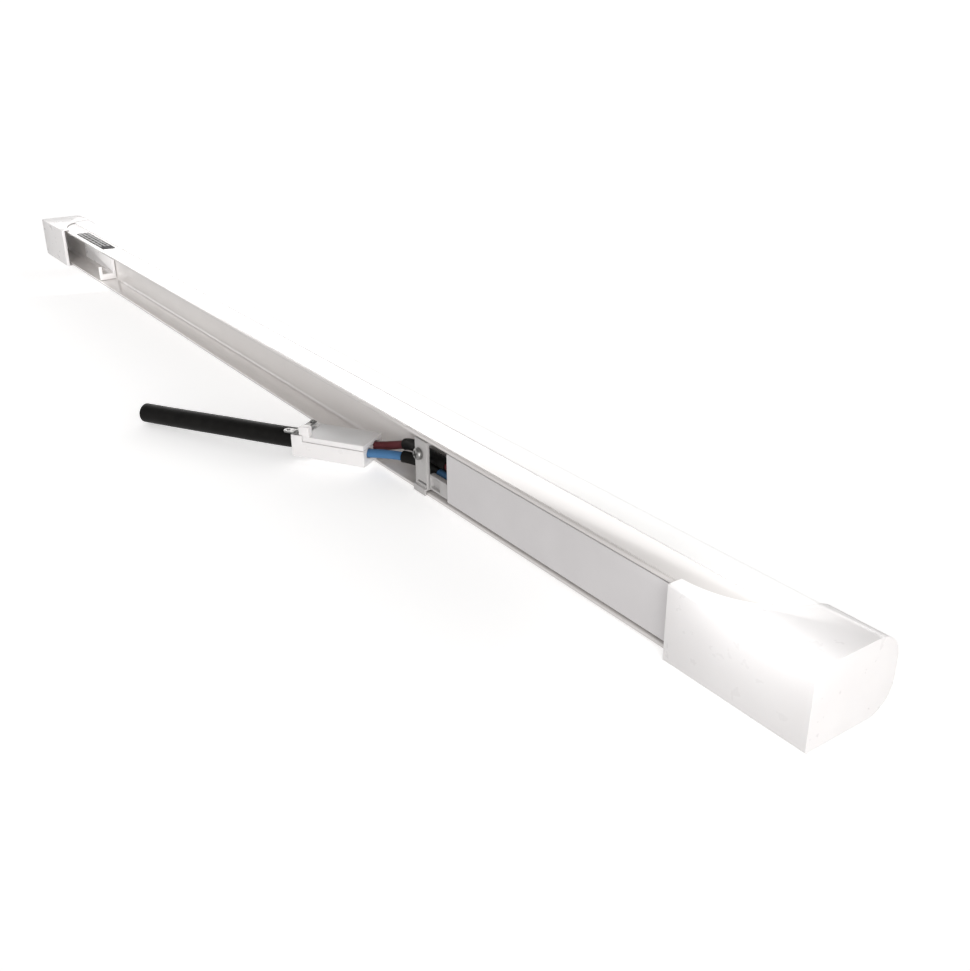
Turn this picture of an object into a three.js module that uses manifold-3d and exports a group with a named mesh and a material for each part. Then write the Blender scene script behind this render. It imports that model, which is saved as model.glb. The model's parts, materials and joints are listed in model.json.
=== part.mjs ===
// Slim linear LED batten, 600 mm class, lying on its side with its open wiring channel facing -Y.
// Working axes inside the group: x runs along the batten from the far cap, y is the depth from the
// mounting plane towards the light-emitting front, z is the height above the side it rests on.
import * as THREE from 'three';
import { mergeVertices } from 'three/addons/utils/BufferGeometryUtils.js';
import Module from 'manifold-3d';

const wasm = await Module();
wasm.setup();

// ---- driving dimensions, millimetres ----
const LENGTH = 600;
const DEPTH = 28.9;
const WIDTH = 21.5;
const MIDDLE = WIDTH / 2;
const GAP = 0.3;

const CAP_LENGTH = 43.84;
const CAP_SKIRT = 0.5;
const CAP_END_WALL = 2;
const CAP_BACK_PLATE = 1.6;
const CAP_FRONT_RADIUS = 8.1;
const CAP_BACK_BEVEL = 0.6;
const SCOOP_DEPTH_CENTRE = 27;
const SCOOP_RADIUS_X = 27;
const SCOOP_RADIUS_Y = 22.6;

const PROFILE_HALF = 10.15;
const PROFILE_WALL = 1.3;
const PROFILE_START = 2.4;
const RIM_DEPTH = 2.9;
const WEB_BACK = 12.6;
const WEB_FRONT = 13.9;
const CHANNEL_HALF = PROFILE_HALF - PROFILE_WALL;

const DIFFUSER_BACK = WEB_FRONT + GAP;
const DIFFUSER_FRONT = 28.3;
const DIFFUSER_WALL = 1.1;
const DIFFUSER_RADIUS = 7.5;

const DRIVER_START = 455;
const DRIVER_END = 588;
const DRIVER_HALF = 8.3;
const DRIVER_BACK = 3.3;
const DRIVER_FRONT = WEB_BACK - GAP;
const COVER_THICKNESS = 1.3;
const CASE_WALL = 0.8;
const BOARD_FACE = 10.2;
const BOARD_THICKNESS = 1;
const PART_BASE = BOARD_FACE - GAP;

const BRIDGE_START = 437;
const BRIDGE_END = 444;
const BRIDGE_THICKNESS = 1.2;
const BRIDGE_SCREW = [439.8, 14.2];
const CLAMP_HEAD = { radius: 2, height: 1.5, back: 1.2 };
const BRIDGE_BOSS_DEPTH = 5.7;
const LEAD_NOTCH = { start: 589, low: 8, high: 13.5 };
const RETAINER = { start: 444.4, end: 454.6, back: 3.6, low: 3.1, high: 8.4 };
const RETAINER_RECESS = { start: 444.9, end: 450.2, low: 3.9, high: 7.3, floor: 4.9 };
const SADDLE = { start: 46, end: 99, pad: 0.9, tab: 1.4, back: 3.4, low: 2.2, high: 9.5 };
const LABEL = { start: 57, end: 107, back: 5, front: 11.6, thickness: 0.15 };

const LEAD_RADIUS = 1.5;
const SLEEVE_BORE = 1.6;
const SLEEVE_RADIUS = 2;

const CABLE_RADIUS = 3.6;
const BOX_LENGTH = 24.1;
const BOX_WIDTH = 13.2;
const BOX_HEIGHT = 7.9;
const BOX_WALL = 1.2;
const BOX_SPLIT = 5.9;
const COLLAR_LENGTH = 4.3;
const POST = { onLid: 2.6, overCollar: 1.3, width: 2.4, top: 11.3 };
const BOX_ANGLE = THREE.MathUtils.degToRad(32);
const BOX_CORNER = [415.4, -4.4, 2.2];

// ---- finishes ----
function finish(color, roughness, metalness = 0) {
  return new THREE.MeshStandardMaterial({ color, roughness, metalness });
}
const WHITE_METAL = () => finish(0xf4f3f0, 0.32);
const WHITE_PLASTIC = () => finish(0xf6f5f3, 0.4);
const OPAL = () => finish(0xfbfbfa, 0.35);
const GREY_PLASTIC = () => finish(0xcfcdcd, 0.5);
const BLACK_PLASTIC = () => finish(0x1c1b1a, 0.55);
const STEEL = () => finish(0xb9b9b7, 0.3, 1);
const BRASS = () => finish(0xb8923c, 0.35, 1);

// ---- solids ----
function toManifold(geometry) {
  const bare = geometry.clone();
  bare.deleteAttribute('normal');
  bare.deleteAttribute('uv');
  const merged = mergeVertices(bare, 1e-4);
  const vertProperties = new Float32Array(merged.attributes.position.array);
  const triVerts = new Uint32Array(merged.index.array);
  return new wasm.Manifold(new wasm.Mesh({ numProp: 3, vertProperties, triVerts }));
}

function toGeometry(manifold) {
  const mesh = manifold.getMesh();
  const geometry = new THREE.BufferGeometry();
  geometry.setAttribute('position', new THREE.BufferAttribute(new Float32Array(mesh.vertProperties), 3));
  geometry.setIndex(new THREE.BufferAttribute(new Uint32Array(mesh.triVerts), 1));
  geometry.computeVertexNormals();
  return geometry;
}

function shaped(body, { add = [], cut = [] }) {
  let solid = toManifold(body);
  for (const extra of add) solid = solid.add(toManifold(extra));
  for (const tool of cut) solid = solid.subtract(toManifold(tool));
  return toGeometry(solid);
}

function block(x0, x1, y0, y1, z0, z1) {
  const geometry = new THREE.BoxGeometry(x1 - x0, y1 - y0, z1 - z0);
  return geometry.translate((x0 + x1) / 2, (y0 + y1) / 2, (z0 + z1) / 2);
}

// A rod between two positions on one axis ('x', 'y' or 'z'); at gives the two other coordinates.
function rod(axis, from, to, at, radius, sides = 16) {
  const geometry = new THREE.CylinderGeometry(radius, radius, to - from, sides);
  const middle = (from + to) / 2;
  if (axis === 'x') return geometry.rotateZ(-Math.PI / 2).translate(middle, at[0], at[1]);
  if (axis === 'y') return geometry.translate(at[0], middle, at[1]);
  return geometry.rotateX(Math.PI / 2).translate(at[0], at[1], middle);
}

// A section drawn as (depth, height above the middle) and drawn out along the batten.
function drawn(shape, from, to, curveSegments = 8) {
  const options = { depth: to - from, bevelEnabled: false, curveSegments };
  const axes = new THREE.Matrix4().set(0, 0, 1, from, 1, 0, 0, 0, 0, 1, 0, MIDDLE, 0, 0, 0, 1);
  return new THREE.ExtrudeGeometry(shape, options).applyMatrix4(axes);
}

function mirroredShape(upper) {
  const lower = upper.map(([depth, height]) => [depth, -height]).reverse();
  return new THREE.Shape([...upper, ...lower].map(([depth, height]) => new THREE.Vector2(depth, height)));
}

function disc(radius, sides, bore = 0) {
  const ring = (r) => Array.from({ length: sides }, (_, i) => {
    const turn = (2 * Math.PI * i) / sides;
    return new THREE.Vector2(r * Math.cos(turn), r * Math.sin(turn));
  });
  const shape = new THREE.Shape(ring(radius));
  if (bore) shape.holes.push(new THREE.Path(ring(bore)));
  return shape;
}

function tube(curve, radius, steps, { sides = 8, bore = 0 } = {}) {
  return new THREE.ExtrudeGeometry(disc(radius, sides, bore), { steps, extrudePath: curve });
}

function route(points) {
  return new THREE.CatmullRomCurve3(points.map((p) => new THREE.Vector3(...p)), false, 'centripetal');
}

// The stretch of a route between two of its length fractions, as a route of its own.
function stretch(curve, from, to, count = 16) {
  const points = [];
  for (let i = 0; i <= count; i += 1) {
    points.push(curve.getPointAt(from + ((to - from) * i) / count));
  }
  return new THREE.CatmullRomCurve3(points, false, 'centripetal');
}

// ---- assembly ----
const batten = new THREE.Group();
const fixture = new THREE.Group();
fixture.position.set(-LENGTH / 2, -DEPTH / 2, 0);
batten.add(fixture);

function place(name, geometry, material, parent = fixture) {
  const mesh = new THREE.Mesh(geometry, material);
  mesh.name = name;
  parent.add(mesh);
  return mesh;
}

// ---- housing: a channel open at the back, with two rails that the diffuser hooks under ----
const RAIL = { inner: 7, outer: 7.8, lip: 8.7, lipBack: 15.2, front: 15.9 };

function housingGeometry() {
  const upper = [
    [RIM_DEPTH, CHANNEL_HALF],
    [RIM_DEPTH, PROFILE_HALF],
    [WEB_FRONT, PROFILE_HALF],
    [WEB_FRONT, RAIL.outer],
    [RAIL.lipBack, RAIL.outer],
    [RAIL.lipBack, RAIL.lip],
    [RAIL.front, RAIL.lip],
    [RAIL.front, RAIL.inner],
    [WEB_FRONT, RAIL.inner],
  ];
  const shape = mirroredShape(upper);
  const outline = shape.getPoints();
  outline.push(new THREE.Vector2(WEB_BACK, -CHANNEL_HALF), new THREE.Vector2(WEB_BACK, CHANNEL_HALF));
  const profile = drawn(new THREE.Shape(outline), PROFILE_START, LENGTH - PROFILE_START);
  const leadNotch = block(
    LEAD_NOTCH.start, LENGTH, WEB_BACK - 1, WEB_FRONT + 1, LEAD_NOTCH.low, LEAD_NOTCH.high,
  );
  return shaped(profile, { cut: [leadNotch] });
}
place('housing_channel', housingGeometry(), WHITE_METAL());

// ---- diffuser: an opal cover with rounded front corners and inward feet ----
const FOOT = { depth: 0.7, inner: 8.1 };

function roundedHalf(back, front, half, radius, steps = 8) {
  const points = [[back, half]];
  for (let i = 0; i <= steps; i += 1) {
    const turn = (Math.PI / 2) * (i / steps);
    points.push([front - radius + radius * Math.sin(turn), half - radius + radius * Math.cos(turn)]);
  }
  return points;
}

function diffuserGeometry() {
  const outer = roundedHalf(DIFFUSER_BACK, DIFFUSER_FRONT, PROFILE_HALF, DIFFUSER_RADIUS);
  const innerHalf = PROFILE_HALF - DIFFUSER_WALL;
  const inner = roundedHalf(
    DIFFUSER_BACK + FOOT.depth,
    DIFFUSER_FRONT - DIFFUSER_WALL,
    innerHalf,
    DIFFUSER_RADIUS - DIFFUSER_WALL,
  );
  const foot = [[DIFFUSER_BACK + FOOT.depth, FOOT.inner], [DIFFUSER_BACK, FOOT.inner]];
  const flip = ([depth, height]) => [depth, -height];
  const outline = [
    ...outer,
    ...outer.map(flip).reverse(),
    ...foot.map(flip).reverse(),
    ...inner.map(flip),
    ...[...inner].reverse(),
    ...foot,
  ];
  const shape = new THREE.Shape(outline.map(([depth, height]) => new THREE.Vector2(depth, height)));
  return drawn(shape, PROFILE_START, LENGTH - PROFILE_START);
}
place('diffuser', diffuserGeometry(), OPAL());

// ---- LED board: a long strip with one row of chips, on the front of the web ----
const CHIP = { count: 36, length: 2.8, width: 3.5, height: 0.7 };

function ledBoardGeometry() {
  const start = 15;
  const end = 585;
  const face = WEB_FRONT + GAP + BOARD_THICKNESS;
  const board = block(start, end, WEB_FRONT + GAP, face, MIDDLE - 6.3, MIDDLE + 6.3);
  const pitch = (end - start) / CHIP.count;
  const chips = Array.from({ length: CHIP.count }, (_, i) => {
    const x = start + pitch * (i + 0.5) - 2;
    const low = MIDDLE - CHIP.width / 2;
    return block(x, x + CHIP.length, face - 0.2, face + CHIP.height, low, low + CHIP.width);
  });
  return shaped(board, { add: chips });
}
place('led_board', ledBoardGeometry(), finish(0xf3f1ea, 0.5));

// ---- end caps: rounded sleeves with a closed end, a back plate and a scooped mouth ----
function capShape(inset, back, bevel) {
  const half = MIDDLE - inset;
  const outline = roundedHalf(back + bevel, DEPTH - inset, half, CAP_FRONT_RADIUS - inset);
  return mirroredShape([[back, half - bevel], ...outline]);
}

function endCapGeometry() {
  const body = drawn(capShape(0, 0, CAP_BACK_BEVEL), 0, CAP_LENGTH);
  const pocket = drawn(capShape(CAP_SKIRT, CAP_BACK_PLATE, 0), CAP_END_WALL, CAP_LENGTH + 5);
  const scoop = new THREE.CylinderGeometry(1, 1, 3 * WIDTH, 72)
    .rotateX(Math.PI / 2)
    .scale(SCOOP_RADIUS_X, SCOOP_RADIUS_Y, 1)
    .translate(CAP_LENGTH, SCOOP_DEPTH_CENTRE, MIDDLE);
  const mouth = block(
    CAP_LENGTH - SCOOP_RADIUS_X,
    CAP_LENGTH + 5,
    SCOOP_DEPTH_CENTRE,
    DEPTH + 5,
    -WIDTH,
    2 * WIDTH,
  );
  const grips = [-1, 1].map((side) => {
    const inner = MIDDLE + side * 7.6;
    const outer = MIDDLE + side * 8.5;
    const low = Math.min(inner, outer);
    return block(CAP_END_WALL - 0.5, 9, CAP_BACK_PLATE - 0.5, 6.5, low, low + 0.9);
  });
  const shell = toGeometry(toManifold(body).subtract(toManifold(pocket)));
  return shaped(shell, { add: grips, cut: [scoop, mouth] });
}
place('end_cap_far', endCapGeometry(), WHITE_PLASTIC());
const nearCap = place('end_cap_near', endCapGeometry(), WHITE_PLASTIC());
nearCap.position.set(LENGTH, 0, WIDTH);
nearCap.rotation.y = Math.PI;

// ---- driver: a slim tray with a flat cover, holding a board and its parts ----
const DRIVER_LOW = MIDDLE - DRIVER_HALF;
const DRIVER_HIGH = MIDDLE + DRIVER_HALF;
const LEAD_ENTRY_DEPTH = 8.2;
const BROWN_ENTRY = 11.2;
const BLUE_ENTRY = 7;
const LED_LEAD_DEPTH = 7.4;
const LED_LEAD_HEIGHTS = [9.6, 11.9];

function driverCaseGeometry() {
  const caseBack = DRIVER_BACK + COVER_THICKNESS + GAP;
  const tray = block(DRIVER_START, DRIVER_END, caseBack, DRIVER_FRONT, DRIVER_LOW, DRIVER_HIGH);
  const hollow = block(
    DRIVER_START + CASE_WALL,
    DRIVER_END - CASE_WALL,
    caseBack - 1,
    DRIVER_FRONT - CASE_WALL,
    DRIVER_LOW + CASE_WALL,
    DRIVER_HIGH - CASE_WALL,
  );
  const inputHoles = [BROWN_ENTRY, BLUE_ENTRY].map((z) => rod(
    'x', DRIVER_START - 1, DRIVER_START + 2, [LEAD_ENTRY_DEPTH, z], LEAD_RADIUS + GAP,
  ));
  const outputHoles = LED_LEAD_HEIGHTS.map((z) => rod(
    'x', DRIVER_END - 2, DRIVER_END + 1, [LED_LEAD_DEPTH, z], 0.95, 10,
  ));
  return shaped(tray, { cut: [hollow, ...inputHoles, ...outputHoles] });
}

function driverCoverGeometry() {
  const inside = DRIVER_BACK + COVER_THICKNESS;
  const plate = block(DRIVER_START, DRIVER_END, DRIVER_BACK, inside, DRIVER_LOW, DRIVER_HIGH);
  const inset = CASE_WALL + GAP;
  const ribs = [DRIVER_LOW + inset, DRIVER_HIGH - inset - 0.8].map((z) => block(
    DRIVER_START + 12, DRIVER_END - 12, inside - 0.4, inside + 1.1, z, z + 0.8,
  ));
  return shaped(plate, { add: ribs });
}
place('driver_case', driverCaseGeometry(), GREY_PLASTIC());
place('driver_cover', driverCoverGeometry(), GREY_PLASTIC());

const boardFront = BOARD_FACE + BOARD_THICKNESS;
place('driver_pcb', block(462, 584, BOARD_FACE, boardFront, 4, 17.5), finish(0x2c6b4a, 0.5));

function transformerCoreGeometry() {
  const frame = block(514, 530, 5.3, PART_BASE, 4.6, 16.9);
  const window = block(516.5, 527.5, 4, PART_BASE + 1, 6.8, 14.7);
  return shaped(frame, { cut: [window] });
}
place('transformer_core', transformerCoreGeometry(), finish(0x3b3a3c, 0.6));
place('transformer_winding', block(516.9, 527.1, 5.6, PART_BASE, 7.1, 14.4), finish(0xc9a227, 0.45));
place('input_fuse', rod('x', 465, 474, [8, 14.4], 1.8), finish(0xb9b2a2, 0.3));
place('filter_choke', rod('y', 5.4, PART_BASE, [480.5, 10.8], 3.9, 20), finish(0x2b2a2c, 0.5));
place('bridge_rectifier', block(487.5, 493.5, 7.4, PART_BASE, 8, 13), BLACK_PLASTIC());
place('input_capacitor', rod('x', 497, 510, [7.5, 7.6], 2.3), finish(0x23355c, 0.35));
place('film_capacitor', block(498, 508.5, 5.6, PART_BASE, 11.3, 16.2), finish(0xa8322a, 0.4));
place('switching_ic', block(534, 539, 8.3, PART_BASE, 8.8, 12.8), BLACK_PLASTIC());
place('output_diode', rod('x', 543, 548, [8.5, 6.4], 1.3, 12), BLACK_PLASTIC());
place('output_capacitor', rod('x', 552, 565, [7.5, 10.8], 2.3), finish(0x1f2f55, 0.35));
place('output_inductor', rod('y', 6.2, PART_BASE, [573, 10.8], 3.4, 20), finish(0x6b4a2a, 0.5));

LED_LEAD_HEIGHTS.forEach((z, i) => {
  const points = [
    [582, LED_LEAD_DEPTH, z], [585, LED_LEAD_DEPTH, z], [588, LED_LEAD_DEPTH, z], [590.6, 8.2, z],
    [592.6, 10.4, z], [593.2, 13.2, z], [592, 15.8, z], [589, 16.5, z], [584, 16.4, z], [580.5, 16.3, z],
  ];
  const [name, color] = i === 0 ? ['led_lead_negative', 0x202020] : ['led_lead_positive', 0xb02a24];
  place(name, tube(route(points), 0.65, 26, { sides: 6 }), finish(color, 0.5));
});

// ---- cord clamp: a bridge over the leads, hooked on the lower rim and held by one screw ----
function cordClampGeometry() {
  const low = MIDDLE - DRIVER_HALF;
  const high = MIDDLE + DRIVER_HALF;
  const face = RIM_DEPTH + BRIDGE_THICKNESS;
  const plate = block(BRIDGE_START, BRIDGE_END, RIM_DEPTH, face, low, high);
  const [screwX, screwZ] = BRIDGE_SCREW;
  const legs = [
    block(BRIDGE_START, BRIDGE_END, face - 0.5, DRIVER_FRONT, low, low + 1.2),
    block(BRIDGE_START, BRIDGE_END, face - 0.5, DRIVER_FRONT, high - 1.2, high),
    block(screwX - 1.8, screwX + 1.8, face - 0.5, BRIDGE_BOSS_DEPTH, screwZ - 1.4, screwZ + 1.4),
  ];
  const riser = block(BRIDGE_START, BRIDGE_END, 1.9, RIM_DEPTH + 0.5, low, low + 0.7);
  const hook = block(BRIDGE_START, BRIDGE_END, 1.9, RIM_DEPTH - GAP, 0.8, low + 0.5);
  const slot = block(BRIDGE_START + 1, BRIDGE_END - 0.7, 0, face + 1, low + 1.5, low + 2.2);
  const screwHole = rod('y', 0, 10, BRIDGE_SCREW, 0.95);
  return shaped(plate, { add: [...legs, riser, hook], cut: [slot, screwHole] });
}

function panScrew(axisLength, shankRadius, headRadius, headHeight) {
  const profile = [
    [0, 0], [headRadius * 0.7, 0], [headRadius, headHeight * 0.45], [headRadius, headHeight],
    [shankRadius, headHeight], [shankRadius, headHeight + axisLength], [0, headHeight + axisLength],
  ];
  return new THREE.LatheGeometry(profile.map(([r, y]) => new THREE.Vector2(r, y)), 16);
}
place('cord_clamp_bridge', cordClampGeometry(), GREY_PLASTIC());
const clampScrewShape = panScrew(2.8, 0.65, CLAMP_HEAD.radius, CLAMP_HEAD.height);
const clampScrew = place('cord_clamp_screw', clampScrewShape, STEEL());
clampScrew.position.set(BRIDGE_SCREW[0], CLAMP_HEAD.back, BRIDGE_SCREW[1]);

function driverRetainerGeometry() {
  const { start, end, back, low, high } = RETAINER;
  const recess = RETAINER_RECESS;
  const plate = block(start, end, back, back + 2, low, high);
  const leg = block(start, end, back + 1.5, DRIVER_FRONT, low, low + 1.2);
  const dip = block(recess.start, recess.end, back - 1, recess.floor, recess.low, recess.high);
  return shaped(plate, { add: [leg], cut: [dip] });
}
place('driver_retainer', driverRetainerGeometry(), GREY_PLASTIC());

// ---- a clip for through wires, near the far end: a pad on the web, a foot and an upright lug ----
function wireSaddleGeometry() {
  const { start, end, pad, tab, back, low, high } = SADDLE;
  const front = WEB_BACK - GAP;
  const base = block(start, end, front - pad, front, low + 2.8, high + 3.5);
  const foot = block(end - tab, end, back + 1, front, low, low + 3.1);
  const lug = block(end - tab, end, back, back + 1.6, low, high);
  return shaped(base, { add: [foot, lug] });
}
place('wire_saddle', wireSaddleGeometry(), WHITE_PLASTIC());

// ---- rating label on the upper side wall ----
const labelLow = MIDDLE + PROFILE_HALF + 0.1;
place('rating_label', block(
  LABEL.start, LABEL.end, LABEL.back, LABEL.front, labelLow, labelLow + LABEL.thickness,
), finish(0xcfcfcf, 0.5));

// ---- the two insulated leads from the terminal box, under the clamp, into the driver ----
const brownRoute = route([
  [408.2, 0.9, 6.7], [411, 2.64, 7.2], [415.1, 5.2, 8], [419, 7.5, 9], [423, 8.8, 10.3],
  [428, 8.9, 11.2], [434, 8.4, 11.5], [440, 8.2, 11.6], [446, 8.2, 11.5], [455, 8.2, BROWN_ENTRY],
  [461, 8, BROWN_ENTRY],
]);
const blueRoute = route([
  [410.5, -2.75, 5.8], [413.3, -1, 6.1], [418.1, 2, 6.7], [422.9, 5, 7], [427.5, 7.4, 7],
  [431, 8.3, 7], [436, 8.4, 7.1], [441, 8.2, 7.1], [447, 8.2, 7], [455, 8.2, BLUE_ENTRY],
  [461, 8, BLUE_ENTRY],
]);
place('lead_brown', tube(brownRoute, LEAD_RADIUS, 34), finish(0x6e3236, 0.45));
place('lead_blue', tube(blueRoute, LEAD_RADIUS, 34), finish(0x5a86b4, 0.45));
const sleeve = { sides: 10, bore: SLEEVE_BORE };
const BROWN_SLEEVE = [0.285, 0.775];
const BLUE_SLEEVE = [0.305, 0.64];
place('sleeve_brown', tube(stretch(brownRoute, BROWN_SLEEVE[0], BROWN_SLEEVE[1]), SLEEVE_RADIUS, 20, sleeve), BLACK_PLASTIC());
place('sleeve_blue', tube(stretch(blueRoute, BLUE_SLEEVE[0], BLUE_SLEEVE[1]), SLEEVE_RADIUS, 20, sleeve), BLACK_PLASTIC());

// ---- supply terminal box, drawn out of the channel and turned away from it ----
// Its own axes: x towards the end where the leads leave, y across, z up, from its near lower corner.
const supplyBox = new THREE.Group();
supplyBox.position.set(...BOX_CORNER);
supplyBox.rotation.z = BOX_ANGLE;
fixture.add(supplyBox);

const POLE = { blue: 4, brown: 8.6 };
const LEAD_EXITS = [[POLE.blue, 3.9], [POLE.brown, 5]];

function leadHoles() {
  return LEAD_EXITS.map((at) => rod('x', -2.2, 1, at, LEAD_RADIUS + 0.4));
}

function terminalBaseGeometry() {
  const top = BOX_SPLIT - GAP / 2;
  const body = block(-BOX_LENGTH, 0, 0, BOX_WIDTH, 0, top);
  const hollow = block(-BOX_LENGTH + BOX_WALL, -BOX_WALL, BOX_WALL, BOX_WIDTH - BOX_WALL, BOX_WALL, top + 1);
  const tub = toGeometry(toManifold(body).subtract(toManifold(hollow)));
  const divider = block(-17, -4, 6.05, 6.55, BOX_WALL - 0.3, 4.6);
  const cheeks = [0, BOX_WIDTH - 2.7].map((y) => block(
    -BOX_LENGTH - COLLAR_LENGTH, -BOX_LENGTH, y, y + 2.7, 0, BOX_HEIGHT,
  ));
  const coreNotch = block(-BOX_LENGTH - 1, -BOX_LENGTH + 2, 3.9, 9.3, 2.3, BOX_HEIGHT);
  const screwHoles = STRAP.screws.map((y) => rod(
    'z', 3, BOX_HEIGHT + 1, [STRAP.middle, y], 0.9, 12,
  ));
  return shaped(tub, { add: [divider, ...cheeks], cut: [coreNotch, ...screwHoles, ...leadHoles()] });
}

function terminalLidGeometry() {
  const low = BOX_SPLIT + GAP / 2;
  const cableEnd = -BOX_LENGTH + GAP;
  const lid = block(cableEnd, 0, 0, BOX_WIDTH, low, BOX_HEIGHT);
  const hollow = block(cableEnd + 1, -1, 1, BOX_WIDTH - 1, low - 1, BOX_HEIGHT - 1);
  const post = block(cableEnd, cableEnd + POST.onLid, 0, POST.width, BOX_HEIGHT - 0.5, POST.top);
  const overhang = block(
    cableEnd - POST.overCollar, cableEnd + 0.5, 0, POST.width, BOX_HEIGHT + GAP, POST.top,
  );
  return shaped(lid, { add: [post, overhang], cut: [hollow, ...leadHoles()] });
}

const STRAP = { middle: -26.8, screws: [1.35, BOX_WIDTH - 1.35], low: BOX_HEIGHT + GAP, thickness: 0.5 };
const STRAP_TIP = { x: -30.4, y: 1.9, radius: 1.7, eye: 0.7 };
const STRAP_HEAD = { radius: 1.1, height: 0.3 };

function cableStrapGeometry() {
  const top = STRAP.low + STRAP.thickness;
  const bar = block(STRAP.middle - 1.2, STRAP.middle + 1.2, 0.2, BOX_WIDTH - 0.2, STRAP.low, top);
  const { x, y: tipY, radius, eye } = STRAP_TIP;
  const tongue = block(x, STRAP.middle, tipY - radius, tipY + radius, STRAP.low, top);
  const tip = rod('z', STRAP.low, top, [x, tipY], radius, 20);
  const opening = rod('z', STRAP.low - 1, top + 1, [x, tipY], eye, 12);
  const screwHoles = STRAP.screws.map((y) => rod('z', STRAP.low - 1, top + 1, [STRAP.middle, y], 0.9, 12));
  return shaped(bar, { add: [tongue, tip], cut: [opening, ...screwHoles] });
}

place('terminal_box_base', terminalBaseGeometry(), WHITE_PLASTIC(), supplyBox);
place('terminal_box_lid', terminalLidGeometry(), WHITE_PLASTIC(), supplyBox);
place('cable_strap', cableStrapGeometry(), STEEL(), supplyBox);

STRAP.screws.forEach((y, i) => {
  const screw = place(`cable_strap_screw_${i + 1}`, panScrew(4.4, 0.65, STRAP_HEAD.radius, STRAP_HEAD.height), STEEL(), supplyBox);
  screw.rotation.x = -Math.PI / 2;
  screw.position.set(STRAP.middle, y, STRAP.low + STRAP.thickness + STRAP_HEAD.height + 0.15);
});

const BLOCK_ENDS = [-15.2, -6.2];
const SCREW_SPOTS = [-13.2, -8.2];
Object.entries(POLE).forEach(([pole, y]) => {
  const brass = block(BLOCK_ENDS[0], BLOCK_ENDS[1], y - 1.6, y + 1.6, 1.5, 4.9);
  const holes = SCREW_SPOTS.map((x) => rod('z', 3, 6, [x, y], 1, 12));
  place(`terminal_${pole}`, shaped(brass, { cut: holes }), BRASS(), supplyBox);
  SCREW_SPOTS.forEach((x, i) => {
    const stud = rod('z', 3.3, 5.6, [x, y], 0.8, 12);
    place(`terminal_screw_${pole}_${i + 1}`, stud, STEEL(), supplyBox);
  });
  const coreY = pole === 'blue' ? 5.35 : 7.85;
  const core = route([
    [-24, coreY, 3.95], [-22, coreY, 3.9], [-19.5, (coreY + y) / 2, 3.5], [-17, y, 3.3], [-15.5, y, 3.3],
  ]);
  const color = pole === 'blue' ? 0x5a86b4 : 0x6e3236;
  place(`supply_core_${pole}`, tube(core, 1.15, 10), finish(color, 0.45), supplyBox);
});

// ---- supply cable: straight out of the collar, sloping down until its bare cut end rests ----
const CABLE_ROUTE = [
  [387.5, -14, 6.15], [384.9, -15.6, 6.05], [380.5, -18.2, 5.9], [375, -21.2, 5.7], [368.5, -24.6, 5.45],
  [361.5, -28.2, 5.2], [354, -32.2, 4.9], [346.5, -36.2, 4.6], [339, -40.1, 4.3], [331.5, -44, 4.02],
  [323.8, -48, 3.75],
];
const CABLE_START = [391.3, -11.65, 6.15];
const cableRoute = route([CABLE_START, ...CABLE_ROUTE]);
place('supply_cable', tube(cableRoute, CABLE_RADIUS, 24, { sides: 12 }), finish(0x1d1c1b, 0.6));

export default batten;
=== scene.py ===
"""Looks for a slim LED batten lying on its side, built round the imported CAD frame."""
import json
import math

import bmesh
import bpy
from mathutils import Matrix, Vector


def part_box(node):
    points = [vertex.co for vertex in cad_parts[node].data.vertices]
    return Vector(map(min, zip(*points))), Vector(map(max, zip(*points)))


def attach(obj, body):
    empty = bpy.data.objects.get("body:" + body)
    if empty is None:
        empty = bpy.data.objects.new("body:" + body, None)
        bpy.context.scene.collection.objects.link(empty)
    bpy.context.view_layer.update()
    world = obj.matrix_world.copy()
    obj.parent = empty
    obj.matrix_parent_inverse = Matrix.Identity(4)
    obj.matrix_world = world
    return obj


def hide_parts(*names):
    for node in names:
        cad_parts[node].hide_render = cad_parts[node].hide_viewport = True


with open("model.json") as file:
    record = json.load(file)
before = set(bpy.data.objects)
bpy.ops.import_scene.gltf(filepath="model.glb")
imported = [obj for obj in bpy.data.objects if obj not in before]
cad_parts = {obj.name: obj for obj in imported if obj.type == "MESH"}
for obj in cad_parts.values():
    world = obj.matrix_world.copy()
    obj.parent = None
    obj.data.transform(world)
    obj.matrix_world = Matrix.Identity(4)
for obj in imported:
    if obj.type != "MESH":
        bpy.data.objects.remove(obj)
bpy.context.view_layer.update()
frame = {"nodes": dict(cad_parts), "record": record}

MM = 0.001
BODY_OF = {n: b for b, ns in frame["record"]["behaviour"]["bodies"].items() for n in ns}
SLOT_OF = {s["node"]: s["material_slot"] for s in frame["record"]["subparts"]}
SCENE = bpy.context.scene


# ---------------------------------------------------------------- camera
def make_camera():
    data = bpy.data.cameras.new("camera")
    data.lens = 39.917
    data.sensor_width = 36
    data.clip_start = 0.01
    data.clip_end = 300
    camera = bpy.data.objects.new("camera", data)
    camera.location = (0.41318, -0.17612, 0.14902)
    camera.rotation_euler = [math.radians(a) for a in (65.317, 0.309, 55.042)]
    SCENE.collection.objects.link(camera)
    SCENE.camera = camera


make_camera()


# ---------------------------------------------------------------- material nodes
NOISE_LOW, NOISE_HIGH = 0.3, 0.7


def add_node(tree, kind, inputs, **settings):
    """A new node. Each input is given a value, or the socket that drives it."""
    node = tree.nodes.new(kind)
    for key, value in settings.items():
        setattr(node, key, value)
    for key, value in inputs.items():
        if isinstance(value, bpy.types.NodeSocket):
            tree.links.new(value, node.inputs[key])
        else:
            node.inputs[key].default_value = value
    return node


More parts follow.
